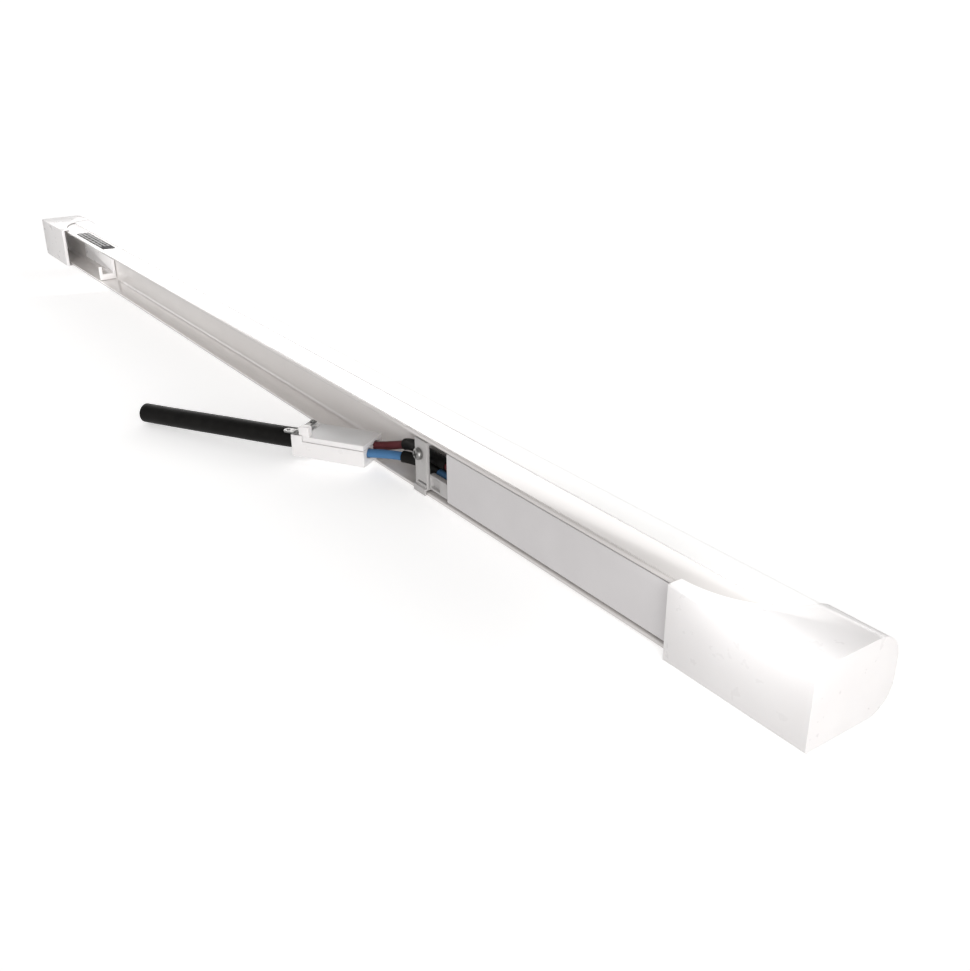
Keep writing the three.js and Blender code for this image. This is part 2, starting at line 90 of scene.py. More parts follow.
class Nodes:
    """Short calls for building one material's node tree."""

    def __init__(self, name):
        self.material = bpy.data.materials.new(name)
        self.material.use_nodes = True
        self.tree = self.material.node_tree
        self.shader = self.tree.nodes["Principled BSDF"]
        coordinates = self.tree.nodes.new("ShaderNodeTexCoord")
        self.place = coordinates.outputs["Object"]

    def set(self, **values):
        for key, value in values.items():
            self.shader.inputs[key.replace("_", " ")].default_value = value

    def add(self, kind, inputs, **settings):
        return add_node(self.tree, kind, inputs, **settings)

    def link(self, output, key):
        self.tree.links.new(output, self.shader.inputs[key])

    def scaled(self, x, y, z):
        return self.add("ShaderNodeMapping", {"Vector": self.place, "Scale": (x, y, z)}).outputs["Vector"]

    def noise(self, scale, detail=4.0, vector=None):
        node = self.add(
            "ShaderNodeTexNoise",
            {"Vector": vector or self.place, "Scale": scale, "Detail": detail, "Roughness": 0.55},
        )
        return node.outputs["Fac"]

    def spread(self, value, low, high):
        """Stretches the usual run of a noise value over low to high."""
        span = {"From Min": NOISE_LOW, "From Max": NOISE_HIGH, "To Min": low, "To Max": high}
        return self.add("ShaderNodeMapRange", {"Value": value, **span}).outputs["Result"]

    def tint(self, value, low, high):
        """Blends two colours over the usual run of a noise value."""
        ramp = self.add("ShaderNodeValToRGB", {"Fac": value})
        ends = ((NOISE_LOW, low), (NOISE_HIGH, high))
        for element, (position, color) in zip(ramp.color_ramp.elements, ends):
            element.position = position
            element.color = (*color, 1)
        return ramp.outputs["Color"]

    def bump(self, height, depth, strength, under=None):
        inputs = {"Height": height, "Distance": depth, "Strength": strength}
        if under is not None:
            inputs["Normal"] = under
        return self.add("ShaderNodeBump", inputs).outputs["Normal"]


def moulded(name, low, high, rough, grain=900.0, depth=0.00002, coat=0.0, subsurface=0.0):
    """Injection moulded plastic: faint mottling, fine spark-eroded grain and a slow wave in the skin."""
    n = Nodes(name)
    n.link(n.tint(n.noise(60.0), low, high), "Base Color")
    n.link(n.spread(n.noise(220.0), rough[0], rough[1]), "Roughness")
    wave = n.bump(n.noise(28.0, 2.0), 0.00003, 0.2)
    n.link(n.bump(n.noise(grain * 4, 3.0), depth, 0.5, wave), "Normal")
    n.set(IOR=1.47, Coat_Weight=coat, Coat_Roughness=0.12)
    if subsurface:
        n.set(Subsurface_Weight=subsurface, Subsurface_Scale=0.002, Subsurface_Radius=(1.0, 0.95, 0.9))
    return n.material


def coated_metal():
    """White stove-enamelled extrusion: drawing lines along its length under a glossy coat."""
    n = Nodes("white_enamel")
    along = n.scaled(3.0, 900.0, 900.0)
    lines = n.noise(1.0, 3.0, along)
    n.link(n.tint(n.noise(35.0), (0.735, 0.708, 0.69), (0.765, 0.738, 0.72)), "Base Color")
    n.link(n.spread(lines, 0.17, 0.25), "Roughness")
    peel = n.bump(n.noise(420.0, 2.0), 0.000015, 0.5)
    n.link(n.bump(lines, 0.00001, 0.5, peel), "Normal")
    n.set(IOR=1.55, Coat_Weight=0.6, Coat_Roughness=0.07)
    return n.material


def opal():
    """Extruded opal cover: soft inner scatter, a faint painted glow that stands in for light falling on it,
    and fine extrusion lines.
    """
    n = Nodes("opal_cover")
    lines = n.noise(1.0, 3.0, n.scaled(2.0, 700.0, 700.0))
    n.link(n.tint(n.noise(30.0), (0.93, 0.93, 0.925), (0.96, 0.96, 0.955)), "Base Color")
    n.link(n.spread(lines, 0.24, 0.33), "Roughness")
    n.link(n.bump(lines, 0.00001, 0.35), "Normal")
    # Painted light: the emission makes the cover glow faintly to brighten it, standing in for light falling
    # on it.
    n.set(
        Emission_Color=(1.0, 0.995, 0.985, 1), Emission_Strength=0.24, IOR=1.5,
        Subsurface_Weight=0.35, Subsurface_Scale=0.004, Subsurface_Radius=(1.0, 1.0, 1.0),
    )
    return n.material


def metal(name, low, high, rough, scratch=(900.0, 30.0, 30.0)):
    """Plated or bare metal with fine directional scratches and duller patches."""
    n = Nodes(name)
    lines = n.noise(1.0, 5.0, n.scaled(*scratch))
    n.link(n.tint(n.noise(320.0), low, high), "Base Color")
    n.link(n.spread(lines, rough[0], rough[1]), "Roughness")
    n.link(n.bump(lines, 0.00001, 0.5), "Normal")
    n.set(Metallic=1.0)
    return n.material


def jacket(name, low, high, rough):
    """Extruded insulation: fine lines and a dusty, uneven sheen."""
    n = Nodes(name)
    dust = n.noise(260.0, 6.0)
    n.link(n.tint(dust, low, high), "Base Color")
    n.link(n.spread(n.noise(90.0), rough[0], rough[1]), "Roughness")
    n.link(n.bump(n.noise(1400.0, 3.0), 0.00003, 0.5), "Normal")
    n.set(IOR=1.48, Specular_IOR_Level=0.12)
    return n.material


LABEL_PANEL_START = 0.87


def printed_label():
    """A grey foil label: rows of plain dark blocks of uneven length, and a dark panel at one end."""
    n = Nodes("rating_print")
    rows = n.add(
        "ShaderNodeTexBrick",
        {
            "Vector": n.place, "Color1": (0.012, 0.012, 0.012, 1), "Color2": (0.10, 0.10, 0.10, 1),
            "Mortar": (0.66, 0.66, 0.66, 1), "Scale": 1.0, "Mortar Size": 0.0005,
            "Brick Width": 0.0061, "Row Height": 0.0021, "Bias": -0.35,
        },
        offset=0.37, squash=0.7, squash_frequency=3,
    )
    low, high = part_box("rating_label")
    panel_x = low.x + LABEL_PANEL_START * (high.x - low.x)
    split = n.add("ShaderNodeSeparateXYZ", {"Vector": n.place})
    panel = n.add("ShaderNodeMath", {0: split.outputs["X"], 1: panel_x}, operation="GREATER_THAN")
    print_color = n.add(
        "ShaderNodeMixRGB",
        {"Fac": panel.outputs[0], "Color1": rows.outputs["Color"], "Color2": (0.10, 0.10, 0.105, 1)},
    )
    n.link(print_color.outputs["Color"], "Base Color")
    n.link(n.spread(n.noise(500.0), 0.5, 0.65), "Roughness")
    n.set(IOR=1.5, Specular_IOR_Level=0.15)
    return n.material


def circuit_board(name, low, high, trace):
    """Solder mask with the faint relief and tint of the copper tracks under it."""
    n = Nodes(name)
    tracks = n.add(
        "ShaderNodeTexBrick",
        {
            "Vector": n.place, "Color1": (*low, 1), "Color2": (*high, 1), "Mortar": (*trace, 1),
            "Scale": 1.0, "Mortar Size": 0.0004, "Brick Width": 0.011, "Row Height": 0.0032,
        },
        offset=0.5,
    )
    n.link(tracks.outputs["Color"], "Base Color")
    n.link(n.spread(n.noise(300.0), 0.35, 0.5), "Roughness")
    n.link(n.bump(tracks.outputs["Fac"], 0.00003, 0.6), "Normal")
    n.set(IOR=1.5)
    return n.material


MATERIALS = {
    "white_aluminium": coated_metal(),
    "opal_cover": opal(),
    "white_plastic": moulded("white_cap_plastic", (0.865, 0.85, 0.847), (0.90, 0.885, 0.882), (0.26, 0.36),
                             coat=0.25, subsurface=0.12),
    "grey_plastic": moulded("grey_cover_plastic", (0.70, 0.685, 0.69), (0.735, 0.72, 0.725), (0.42, 0.55)),
    "clamp_grey": moulded("clamp_grey_plastic", (0.46, 0.45, 0.445), (0.51, 0.50, 0.495), (0.4, 0.52)),
    # Painted shade: a greyer copy of the lid plastic, used to darken the top of the lid.
    "lid_painted_shade": moulded("lid_painted_shade_plastic", (0.84, 0.84, 0.84), (0.88, 0.88, 0.88), (0.35, 0.5)),
    "board_white": circuit_board("white_board", (0.86, 0.85, 0.82), (0.88, 0.87, 0.84), (0.78, 0.77, 0.72)),
    "board_green": circuit_board("green_board", (0.02, 0.14, 0.06), (0.03, 0.17, 0.08), (0.05, 0.25, 0.12)),
    "black_part": moulded("black_epoxy", (0.012, 0.012, 0.012), (0.03, 0.03, 0.03), (0.45, 0.6)),
    "ferrite": moulded("ferrite", (0.03, 0.03, 0.033), (0.06, 0.06, 0.065), (0.6, 0.8), depth=0.00005),
    "winding": moulded("winding_tape", (0.55, 0.38, 0.03), (0.66, 0.47, 0.06), (0.25, 0.4)),
    "fuse_tube": moulded("fuse_tube", (0.45, 0.43, 0.36), (0.55, 0.53, 0.46), (0.15, 0.3)),
    "capacitor_sleeve": moulded("capacitor_sleeve", (0.012, 0.025, 0.11), (0.02, 0.04, 0.15), (0.22, 0.35)),
    "film_case": moulded("film_case", (0.38, 0.03, 0.02), (0.46, 0.05, 0.03), (0.22, 0.35)),
    "coil_copper": metal("coil_copper", (0.42, 0.15, 0.06), (0.55, 0.22, 0.09), (0.25, 0.4),
                         scratch=(40.0, 2500.0, 40.0)),
    "steel": metal("zinc_steel", (0.22, 0.22, 0.217), (0.36, 0.36, 0.353), (0.26, 0.42)),
    "brass_terminal": metal("terminal_brass", (0.58, 0.38, 0.11), (0.72, 0.50, 0.17), (0.2, 0.36)),
    "brown_insulation": jacket("brown_insulation", (0.10, 0.022, 0.026), (0.13, 0.032, 0.037), (0.36, 0.5)),
    "blue_insulation": jacket("blue_insulation", (0.062, 0.165, 0.33), (0.08, 0.20, 0.39), (0.36, 0.5)),
    "red_insulation": jacket("red_insulation", (0.38, 0.02, 0.02), (0.45, 0.03, 0.03), (0.36, 0.5)),
    "black_sleeve": jacket("black_sleeve", (0.006, 0.0058, 0.0052), (0.011, 0.0105, 0.0096), (0.42, 0.6)),
    "cable_jacket": jacket("cable_jacket", (0.004, 0.0037, 0.0034), (0.0085, 0.008, 0.0073), (0.4, 0.55)),
    "label": printed_label(),
    "copper": metal("bare_copper", (0.72, 0.30, 0.16), (0.88, 0.42, 0.25), (0.2, 0.35)),
}


# ---------------------------------------------------------------- mesh helpers
def link_object(name, mesh):
    piece = bpy.data.objects.new(name, mesh)
    SCENE.collection.objects.link(piece)
    return piece


def mesh_from(name, bm):
    bmesh.ops.remove_doubles(bm, verts=bm.verts, dist=1e-7)
    bmesh.ops.recalc_face_normals(bm, faces=bm.faces)
    mesh = bpy.data.meshes.new(name)
    bm.to_mesh(mesh)
    bm.free()
    return link_object(name, mesh)


def apply_modifiers(piece):
    graph = bpy.context.evaluated_depsgraph_get()
    mesh = bpy.data.meshes.new_from_object(piece.evaluated_get(graph))
    piece.modifiers.clear()
    piece.data = mesh


def soften(piece, width, segments=2, angle=30):
    """Rounds the sharp edges of a piece and shades it smooth."""
    bevel = piece.modifiers.new("edges", "BEVEL")
    bevel.width = width
    bevel.segments = segments
    bevel.limit_method = "ANGLE"
    bevel.angle_limit = math.radians(angle)
    bevel.use_clamp_overlap = True
    bevel.miter_outer = "MITER_ARC"
    apply_modifiers(piece)
    shade(piece)


def shade(piece, angle=40):
    piece.data.shade_smooth()
    piece.data.set_sharp_from_angle(angle=math.radians(angle))


def cut(piece, *tools):
    """Takes helper objects away from a piece, and removes them."""
    for tool in tools:
        step = piece.modifiers.new("cut", "BOOLEAN")
        step.operation = "DIFFERENCE"
        step.object = tool
        step.solver = "EXACT"
        apply_modifiers(piece)
        bpy.data.objects.remove(tool)


def box_tool(low, high):
    bm = bmesh.new()
    bmesh.ops.create_cube(bm, size=1.0)
    low, high = Vector(low), Vector(high)
    for v in bm.verts:
        v.co = Vector([(low[i] + high[i]) / 2 + v.co[i] * (high[i] - low[i]) for i in range(3)])
    return mesh_from("tool", bm)


def rounded(points, steps):
    """A closed outline of (y, z, radius) corners, each rounded by its radius."""
    outline = []
    count = len(points)
    for i, (y, z, radius) in enumerate(points):
        here = Vector((y, z))
        if radius <= 0:
            outline.append(here)
            continue
        before = (Vector(points[i - 1][:2]) - here).normalized()
        after = (Vector(points[(i + 1) % count][:2]) - here).normalized()
        half = before.angle(after) / 2
        reach = radius / math.tan(half)
        centre = here + (before + after).normalized() * (radius / math.sin(half))
        start = here + before * reach - centre
        stop = here + after * reach - centre
        turn = start.angle_signed(stop)
        for k in range(steps + 1):
            spin = Matrix.Rotation(-turn * k / steps, 2)
            outline.append(centre + spin @ start)
    return outline


def prism(name, outline, start, stop, axis=0):
    """An outline drawn out along an axis. Its points hold the two other coordinates, in order."""
    bm = bmesh.new()
    ends = [[bm.verts.new((*p[:axis], along, *p[axis:])) for p in outline] for along in (start, stop)]
    bm.faces.new(ends[0])
    bm.faces.new(list(reversed(ends[1])))
    for i in range(len(outline)):
        j = (i + 1) % len(outline)
        bm.faces.new((ends[0][i], ends[1][i], ends[1][j], ends[0][j]))
    return mesh_from(name, bm)


def rounded_end(ring, inward, rounding):
    """The rings of a rod's rounded end, from its face to where its full radius starts."""
    place, along, side, up, radius = ring
    rings = [(place + along * inward * rounding * (1 - math.cos(a)), along, side, up,
              radius - rounding * (1 - math.sin(a))) for a in (0.0, 0.4, 0.8, 1.2)]
    rings.append((place + along * inward * rounding, along, side, up, radius))
    return rings


def sweep(name, points, radius, sides=24, bore=0.0, round_ends=0.0):
    """A round tube or rod along a path, its end edges rounded off where round_ends is given."""
    points = [Vector(p) for p in points]
    tangents = [(points[min(i + 1, len(points) - 1)] - points[max(i - 1, 0)]).normalized()
                for i in range(len(points))]
    side = tangents[0].orthogonal().normalized()
    rings = []
    for i, (p, t) in enumerate(zip(points, tangents)):
        side = (side - t * side.dot(t)).normalized()
        rings.append((p, t, side.copy(), t.cross(side), radius))
    if round_ends:
        first = rounded_end(rings[0], 1, round_ends)
        last = rounded_end(rings[-1], -1, round_ends)
        rings = [*first, *rings[1:-1], *reversed(last)]
    bm = bmesh.new()

    def loop(ring, r):
        p, _, u, v, _ = ring
        return [bm.verts.new(p + (u * math.cos(a) + v * math.sin(a)) * r)
                for a in (2 * math.pi * k / sides for k in range(sides))]

    outer = [loop(ring, ring[4]) for ring in rings]
    skins = [outer]
    if bore:
        skins.append([loop(ring, bore) for ring in rings])
    for skin in skins:
        for a, b in zip(skin, skin[1:]):
            for k in range(sides):
                m = (k + 1) % sides
                bm.faces.new((a[k], a[m], b[m], b[k]))
    for end in (0, -1):
        if bore:
            for k in range(sides):
                m = (k + 1) % sides
                bm.faces.new((skins[0][end][k], skins[0][end][m], skins[1][end][m], skins[1][end][k]))
        else:
            bm.faces.new(outer[end])
    piece = mesh_from(name, bm)
    shade(piece)
    return piece


def smooth_path(points, per_span=5):
    """Centripetal Catmull-Rom points through a short list."""
    points = [Vector(p) for p in points]
    padded = [points[0] * 2 - points[1], *points, points[-1] * 2 - points[-2]]
    path = []
    for i in range(len(points) - 1):
        p0, p1, p2, p3 = padded[i:i + 4]
        t1 = (p1 - p0).length ** 0.5
        t2 = t1 + (p2 - p1).length ** 0.5
        t3 = t2 + (p3 - p2).length ** 0.5
        for k in range(per_span):
            t = t1 + (t2 - t1) * k / per_span
            a1 = p0 * ((t1 - t) / t1) + p1 * (t / t1)
            a2 = p1 * ((t2 - t) / (t2 - t1)) + p2 * ((t - t1) / (t2 - t1))
            a3 = p2 * ((t3 - t) / (t3 - t2)) + p3 * ((t - t2) / (t3 - t2))
            b1 = a1 * ((t2 - t) / t2) + a2 * (t / t2)
            b2 = a2 * ((t3 - t) / (t3 - t1)) + a3 * ((t - t1) / (t3 - t1))
            path.append(b1 * ((t2 - t) / (t2 - t1)) + b2 * ((t - t1) / (t2 - t1)))
    path.append(points[-1])
    return path


def path_length(path):
    return sum((b - a).length for a, b in zip(path, path[1:]))


def portion(path, low, high):
    """The part of a path between two of its length fractions."""
    total = path_length(path)
    kept, run = [], 0.0
    for a, b in zip(path, path[1:]):
        step = (b - a).length
        for share in (low, high):
            if run <= share * total < run + step:
                kept.append(a.lerp(b, (share * total - run) / step))
        run += step
        if low * total < run < high * total:
            kept.append(b)
    return kept


def detail(piece, body, slot, material=None):
    """Gives a piece its material, from its slot unless one is given, and its body."""
    piece.data.materials.clear()
    piece.data.materials.append(material or MATERIALS[slot])
    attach(piece, body)
    return piece


def finish_piece(piece, node, material=None):
    """Has a piece stand for a CAD node, on the node's body and in its slot."""
    detail(piece, BODY_OF[node], SLOT_OF[node], material)
    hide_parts(node)


def clean_copy(node):
    """A copy of a CAD node's mesh with its flat faces whole again."""
    bm = bmesh.new()
    bm.from_mesh(frame["nodes"][node].data)
    bmesh.ops.remove_doubles(bm, verts=bm.verts, dist=1e-6)
    bmesh.ops.dissolve_limit(
        bm, angle_limit=math.radians(0.5), verts=bm.verts, edges=bm.edges, use_dissolve_boundaries=False
    )
    mesh = bpy.data.meshes.new(node + "_skin")
    bm.to_mesh(mesh)
    bm.free()
    return link_object(node + "_skin", mesh)


# ---------------------------------------------------------------- places worked out from the frame
CAP_LOW, CAP_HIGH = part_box("end_cap_far")
HOUSING_LOW, HOUSING_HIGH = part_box("housing_channel")
DIFFUSER_LOW, DIFFUSER_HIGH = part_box("diffuser")
BACK = CAP_LOW.y
MIDDLE = (CAP_LOW.z + CAP_HIGH.z) / 2
FAR_END = CAP_LOW.x
NEAR_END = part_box("end_cap_near")[1].x


def at(u, v, w):
    """A point given in millimetres from the far end, the mounting plane and the resting side."""
    return Vector((FAR_END + u * MM, BACK + v * MM, w * MM))


# ---------------------------------------------------------------- supply cable (a cord, so made first)
CABLE_RADIUS = 3.6 * MM
CORE_RADIUS = 1.25 * MM
CORE_OFFSET = 1.45 * MM
CORE_DEPTH = 2 * MM
CONDUCTOR_RADIUS = 0.6 * MM
CORE_PROUD, CONDUCTOR_PROUD = 0.02 * MM, 0.05 * MM
CABLE_START = (391.3, -11.65, 6.15)
CABLE_ROUTE = [
    (387.5, -14, 6.15), (384.9, -15.6, 6.05), (380.5, -18.2, 5.9), (375, -21.2, 5.7), (368.5, -24.6, 5.45),
    (361.5, -28.2, 5.2), (354, -32.2, 4.9), (346.5, -36.2, 4.6), (339, -40.1, 4.3), (331.5, -44, 4.02),
    (323.8, -48, 3.75),
]


def make_supply_cable():
    path = smooth_path([at(*p) for p in (CABLE_START, *CABLE_ROUTE)])
    cable = sweep("supply_cable_jacket", path, CABLE_RADIUS, 40, round_ends=0.45 * MM)
    finish_piece(cable, "supply_cable")
    along = (path[-1] - path[-2]).normalized()
    across = along.cross(Vector((0, 0, 1))).normalized()
    for side, slot in ((-1, "blue_insulation"), (1, "brown_insulation")):
        middle = path[-1] + across * side * CORE_OFFSET
        inside = middle - along * CORE_DEPTH
        core = sweep(f"cut_core_{slot}", [inside, middle + along * CORE_PROUD], CORE_RADIUS, 24)
        detail(core, "batten", slot)
        wire = sweep(f"cut_copper_{slot}", [inside, middle + along * CONDUCTOR_PROUD], CONDUCTOR_RADIUS, 16)
        wire.data.materials.append(MATERIALS["copper"])
        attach(wire, "batten")


make_supply_cable()


# ---------------------------------------------------------------- leads and sleeves
BROWN_ROUTE = [
    (408.2, 0.9, 6.7), (411, 2.64, 7.2), (415.1, 5.2, 8), (419, 7.5, 9), (423, 8.8, 10.3),
    (428, 8.9, 11.2), (434, 8.4, 11.5), (440, 8.2, 11.6), (446, 8.2, 11.5), (455, 8.2, 11.2),
    (461, 8, 11.2),
]
BLUE_ROUTE = [
    (410.5, -2.75, 5.8), (413.3, -1, 6.1), (418.1, 2, 6.7), (422.9, 5, 7), (427.5, 7.4, 7),
    (431, 8.3, 7), (436, 8.4, 7.1), (441, 8.2, 7.1), (447, 8.2, 7), (455, 8.2, 7),
    (461, 8, 7),
]


SLEEVE_SPANS = {"brown": (0.285, 0.775), "blue": (0.305, 0.675)}
LEAD_RADIUS = 1.5 * MM
SLEEVE_RADIUS, SLEEVE_BORE = 2 * MM, 1.6 * MM


def make_leads():
    for color, route in (("brown", BROWN_ROUTE), ("blue", BLUE_ROUTE)):
        path = smooth_path([at(*p) for p in route])
        wire = sweep(f"lead_{color}_wire", path, LEAD_RADIUS, 24, round_ends=0.2 * MM)
        finish_piece(wire, f"lead_{color}")
        covered = portion(path, *SLEEVE_SPANS[color])
        tube = sweep(f"sleeve_{color}_tube", covered, SLEEVE_RADIUS, 28, bore=SLEEVE_BORE)
        finish_piece(tube, f"sleeve_{color}")


make_leads()


# ---------------------------------------------------------------- housing and diffuser
# Sections are given in millimetres from the mounting plane, and from the middle of the width.
WALL_OUT, WALL_IN = 10.15, 8.85
MOUTH = 2.9
WEB_BACK, WEB_FRONT = 12.6, 13.9
GROOVE_START, GROOVE_WIDTH, GROOVE_DEPTH, GROOVE_SLOPE = 3.5, 0.4, 0.15, 0.1
RAIL_IN, RAIL_OUT, RAIL_LIP = 7, 7.8, 8.7
LIP_BACK, LIP_FRONT = 15.2, 15.9
COVER_BACK, COVER_FRONT = 14.2, 28.3
COVER_WALL, COVER_CORNER = 1.1, 7.5
TONGUE_IN, TONGUE_FRONT = 8.1, 14.9
NOTCH_LOW, NOTCH_HIGH = (589, 11.6, 8), (601, 14.9, 13.5)


def mirror(corners):
    return [(y, -z, r) for y, z, r in reversed(corners)]


def placed(corners):
    """Corners (y, height above the middle, radius) in millimetres, put in place in metres."""
    return [(BACK + y * MM, MIDDLE + z * MM, r * MM) for y, z, r in corners]


def make_housing():
    groove_stop = GROOVE_START + GROOVE_WIDTH
    groove = [
        (GROOVE_START, WALL_OUT, 0), (GROOVE_START + GROOVE_SLOPE, WALL_OUT - GROOVE_DEPTH, 0),
        (groove_stop - GROOVE_SLOPE, WALL_OUT - GROOVE_DEPTH, 0), (groove_stop, WALL_OUT, 0),
    ]
    wall = [(WEB_BACK, WALL_IN, 1.2), (MOUTH, WALL_IN, 0.35), (MOUTH, WALL_OUT, 0.45), *groove]
    front = [(WEB_FRONT, WALL_OUT, 0.22), (WEB_FRONT, RAIL_OUT, 0.1)]
    rail = [
        (LIP_BACK, RAIL_OUT, 0.1), (LIP_BACK, RAIL_LIP, 0.15), (LIP_FRONT, RAIL_LIP, 0.15),
        (LIP_FRONT, RAIL_IN, 0.15), (WEB_FRONT, RAIL_IN, 0.25),
    ]
    upper = wall + front + rail
    outline = rounded(placed(upper + mirror(upper)), 5)
    housing = prism("housing_extrusion", outline, HOUSING_LOW.x, HOUSING_HIGH.x)
    cut(housing, box_tool(at(*NOTCH_LOW), at(*NOTCH_HIGH)))
    shade(housing)
    finish_piece(housing, "housing_channel")


def make_diffuser():
    outer = [
        (TONGUE_FRONT, TONGUE_IN, 0.1), (COVER_BACK, TONGUE_IN, 0.1), (COVER_BACK, WALL_OUT, 0.22),
        (COVER_FRONT, WALL_OUT, COVER_CORNER),
    ]
    inner = [
        (COVER_FRONT - COVER_WALL, WALL_OUT - COVER_WALL, COVER_CORNER - COVER_WALL),
        (TONGUE_FRONT, WALL_OUT - COVER_WALL, 0.15),
    ]
    outline = rounded(placed(outer + mirror(outer) + mirror(inner) + inner), 16)
    diffuser = prism("diffuser_cover", outline, DIFFUSER_LOW.x, DIFFUSER_HIGH.x)
    shade(diffuser)
    finish_piece(diffuser, "diffuser")


make_housing()
make_diffuser()


# ---------------------------------------------------------------- end caps
CAP_LENGTH = 43.84
CAP_HALF, CAP_FRONT, CAP_CORNER = 10.75, 28.9, 8.1
CAP_SKIN, CAP_FLOOR, CAP_BACK_SKIN = 0.5, 2, 1.6
SCOOP_HALF_LENGTH, SCOOP_HALF_DEPTH, SCOOP_MIDDLE = 27, 22.6, 27
SCOOP_SIDES = 180
GRIP_ALONG, GRIP_UP = (1.9, 9), (1.5, 6.5)
GRIP_MIDDLE, GRIP_THICKNESS = 8.05, 0.9
PAST_RIM, PAST_FRONT = 50, 35
TOOL_LOW, TOOL_HIGH = -10 * MM, 35 * MM


def make_cap(name, node, end_x, direction):
    """A rounded sleeve with a closed end and an elliptical scoop; direction points into the batten."""
    def x_at(distance):
        return end_x + direction * distance * MM

    def sleeve(label, inset, back, bevel, start, stop):
        half = CAP_HALF - inset
        upper = [(back, half, bevel), (CAP_FRONT - inset, half, CAP_CORNER - inset)]
        span = sorted((x_at(start), x_at(stop)))
        return prism(label, rounded(placed(upper + mirror(upper)), 20), *span)

    def block(along, up, z_low, z_high):
        x_low, x_high = sorted(x_at(distance) for distance in along)
        return box_tool((x_low, BACK + up[0] * MM, z_low), (x_high, BACK + up[1] * MM, z_high))

    cap = sleeve(name, 0, 0, 0.6, 0, CAP_LENGTH)
    cut(cap, sleeve("pocket", CAP_SKIN, CAP_BACK_SKIN, 0.05, CAP_FLOOR, PAST_RIM))
    turns = [2 * math.pi * k / SCOOP_SIDES for k in range(SCOOP_SIDES)]
    ellipse = [(x_at(CAP_LENGTH - SCOOP_HALF_LENGTH * math.cos(a)),
                BACK + (SCOOP_MIDDLE + SCOOP_HALF_DEPTH * math.sin(a)) * MM) for a in turns]
    scoop = prism("scoop", ellipse, TOOL_LOW, TOOL_HIGH, axis=2)
    mouth_along = (CAP_LENGTH - SCOOP_HALF_LENGTH, PAST_RIM)
    mouth = block(mouth_along, (SCOOP_MIDDLE, PAST_FRONT), TOOL_LOW, TOOL_HIGH)
    cut(cap, scoop, mouth)
    soften(cap, 0.22 * MM, 3, 35)
    finish_piece(cap, node)
    for side, label in ((-1, "low"), (1, "high")):
        z = MIDDLE + side * GRIP_MIDDLE * MM
        half = GRIP_THICKNESS / 2 * MM
        grip = block(GRIP_ALONG, GRIP_UP, z - half, z + half)
        grip.name = f"{name}_grip_{label}"
        soften(grip, 0.12 * MM)
        detail(grip, BODY_OF[node], "white_plastic")


make_cap("end_cap_far_shell", "end_cap_far", FAR_END, 1)
make_cap("end_cap_near_shell", "end_cap_near", NEAR_END, -1)


# ---------------------------------------------------------------- CAD shapes with real edges
EDGES = {
    "driver_cover": 0.3, "driver_case": 0.2, "driver_retainer": 0.22, "cord_clamp_bridge": 0.2,
    "wire_saddle": 0.2, "rating_label": 0.04, "terminal_box_base": 0.22, "terminal_box_lid": 0.28,
    "cable_strap": 0.18, "terminal_blue": 0.12, "terminal_brown": 0.12, "driver_pcb": 0.1,
    "transformer_core": 0.25, "transformer_winding": 0.5, "input_fuse": 0.3, "filter_choke": 0.5,
    "bridge_rectifier": 0.2, "input_capacitor": 0.5, "film_capacitor": 0.7, "switching_ic": 0.15,
    "output_diode": 0.2, "output_capacitor": 0.5, "output_inductor": 0.5, "led_board": 0.1,
    **{f"terminal_screw_{color}_{i}": 0.12 for color in ("blue", "brown") for i in (1, 2)},
    "led_lead_negative": 0.1, "led_lead_positive": 0.1,
    "supply_core_blue": 0.1, "supply_core_brown": 0.1,
}
CLAMP_PARTS = ("cord_clamp_bridge", "driver_retainer")


def make_edged_parts():
    for node, width in EDGES.items():
        piece = clean_copy(node)
        soften(piece, width * MM, 3, 32)
        finish_piece(piece, node, MATERIALS["clamp_grey"] if node in CLAMP_PARTS else None)


make_edged_parts()


# ---------------------------------------------------------------- painted shade on the lid top
# The painted-shade sheet's corners are in millimetres along the terminal box's own axes, from the corner it
# turns about.
BOX_CORNER = (415.4, -4.4, 2.2)
BOX_TURN = math.radians(32)
LID_TOP = 7.9
SHADE_SHEET_LOW, SHADE_SHEET_HIGH = (-23.3, 0.5, LID_TOP - 0.1), (-0.5, 12.7, LID_TOP + 0.06)
POST_GAP_LOW, POST_GAP_HIGH = (-24.5, 0, 7), (-21, 2.6, 9)


def make_lid_top_painted_shade():
    """A thin grey sheet of painted shade laid on the top of the lid, with its corner cut away round the
    post.
    """
    # The sheet is painted shade: it makes the lid top greyer than its sides.
    panel = box_tool(Vector(SHADE_SHEET_LOW) * MM, Vector(SHADE_SHEET_HIGH) * MM)
    panel.name = "lid_top_painted_shade"
    cut(panel, box_tool(Vector(POST_GAP_LOW) * MM, Vector(POST_GAP_HIGH) * MM))
    soften(panel, 0.04 * MM)
    panel.data.transform(Matrix.Translation(at(*BOX_CORNER)) @ Matrix.Rotation(BOX_TURN, 4, "Z"))
    detail(panel, BODY_OF["terminal_box_lid"], "grey_plastic", MATERIALS["lid_painted_shade"])


make_lid_top_painted_shade()


# ---------------------------------------------------------------- screws
SHANK_RADIUS = 0.65 * MM
CLAMP_HEAD_HEIGHT, CLAMP_SHANK = 1.5 * MM, 2.8 * MM
STRAP_HEAD_HEIGHT, STRAP_SHANK = 0.3 * MM, 4.4 * MM
RECESS_TURN = math.radians(28)


